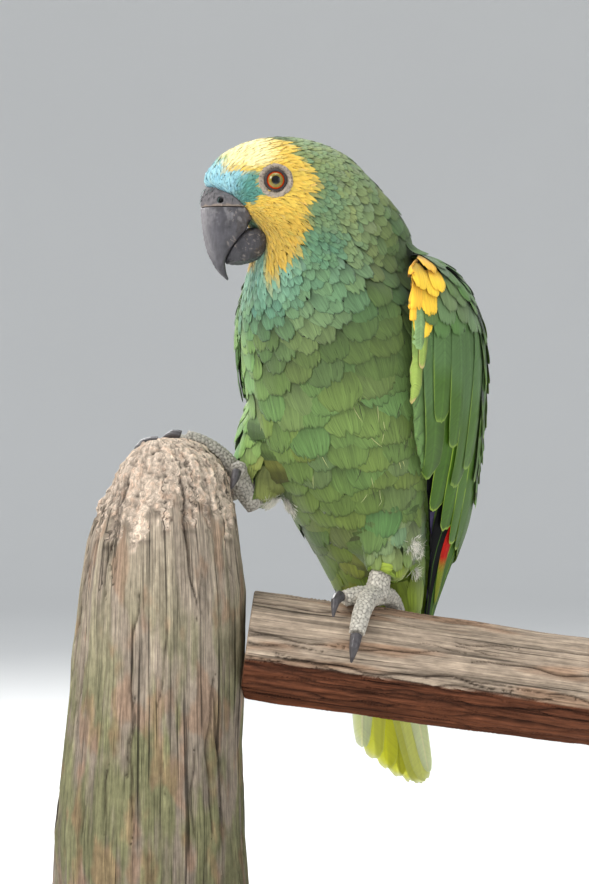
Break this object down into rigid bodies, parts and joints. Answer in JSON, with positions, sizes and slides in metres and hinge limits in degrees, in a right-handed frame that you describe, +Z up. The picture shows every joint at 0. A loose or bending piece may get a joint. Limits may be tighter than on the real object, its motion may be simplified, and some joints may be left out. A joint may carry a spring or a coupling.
{
  "type": "amazon parrot",
  "caption": "Life-size still model of a green amazon parrot with a yellow and blue face, gripping a weathered post and rail perch on a round display stand",
  "frame": {"origin": "centre of the underside of the display stand's round base", "axes": "+Z up; the bird's breast faces -Y and its left side is +X; the rail runs from the post towards +X, turned 25 degrees about Z"},
  "size_m": [0.2819, 0.264, 0.3716],
  "materials": {
    "plumage": "overlapping green feathers with dark edges",
    "wing_plumage": "long green feathers with yellow-green edges",
    "flight_quills": "blue-black feather vanes",
    "tail_plumage": "yellow-green feather vanes",
    "horn": "dark slate horn, faintly striated",
    "cere_skin": "dusty dark bare skin",
    "eye": "wet orange iris round a black pupil",
    "foot_skin": "pale grey scaly skin",
    "perch_wood": "weathered, cracked bare wood",
    "stand_base": "dark stained turned wood",
    "stand_rod": "plain steel rod"
  },
  "bodies": {
    "root": {"head": "plumage", "neck": "plumage", "trunk": "plumage", "thigh_left": "plumage", "thigh_right": "plumage", "wing_left": "wing_plumage", "wing_right": "wing_plumage", "primaries_left": "flight_quills", "primaries_right": "flight_quills", "tail": "tail_plumage", "bill_upper": "horn", "bill_lower": "horn", "claw_left_inner": "horn", "claw_left_front": "horn", "claw_left_outer": "horn", "claw_left_hind": "horn", "claw_right_inner": "horn", "claw_right_front": "horn", "claw_right_outer": "horn", "claw_right_hind": "horn", "cere": "cere_skin", "eye_left": "eye", "eye_right": "eye", "foot_left": "foot_skin", "foot_right": "foot_skin", "perch_post": "perch_wood", "perch_rail": "perch_wood", "stand_base": "stand_base", "stand_rod_left": "stand_rod", "stand_rod_right": "stand_rod"}
  },
  "joints": []
}
